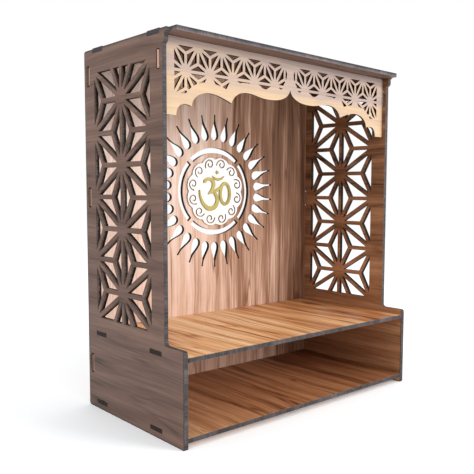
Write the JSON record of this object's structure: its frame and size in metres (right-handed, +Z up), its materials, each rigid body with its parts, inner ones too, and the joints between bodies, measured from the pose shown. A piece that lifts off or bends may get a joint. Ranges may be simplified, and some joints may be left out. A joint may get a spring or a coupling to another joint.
{
  "type": "household altar cabinet",
  "caption": "Household altar cabinet of slotted laminated boards, with star-lattice sides, a scalloped valance, a pierced sun with a medallion, and an open shelf below.",
  "frame": {"origin": "on the floor, under the middle of the cabinet's bounding box", "axes": "+Z up, -Y to the open front, +X to the right as seen from the front"},
  "size_m": [0.428, 0.24, 0.501],
  "materials": {
    "walnut": "satin walnut laminate with charred laser-cut edges",
    "maple": "satin pale laminate with charred laser-cut edges",
    "white_laminate": "satin white sheet",
    "gold": "gold-coloured mirror sheet"
  },
  "bodies": {
    "root": {"left_side_panel": "walnut", "right_side_panel": "walnut", "back_panel": "walnut", "roof_panel": "walnut", "altar_shelf": "walnut", "base_board": "walnut", "front_valance": "maple", "sun_medallion": "white_laminate", "om_body": "gold", "om_crescent": "gold", "om_dot": "gold"}
  },
  "joints": []
}
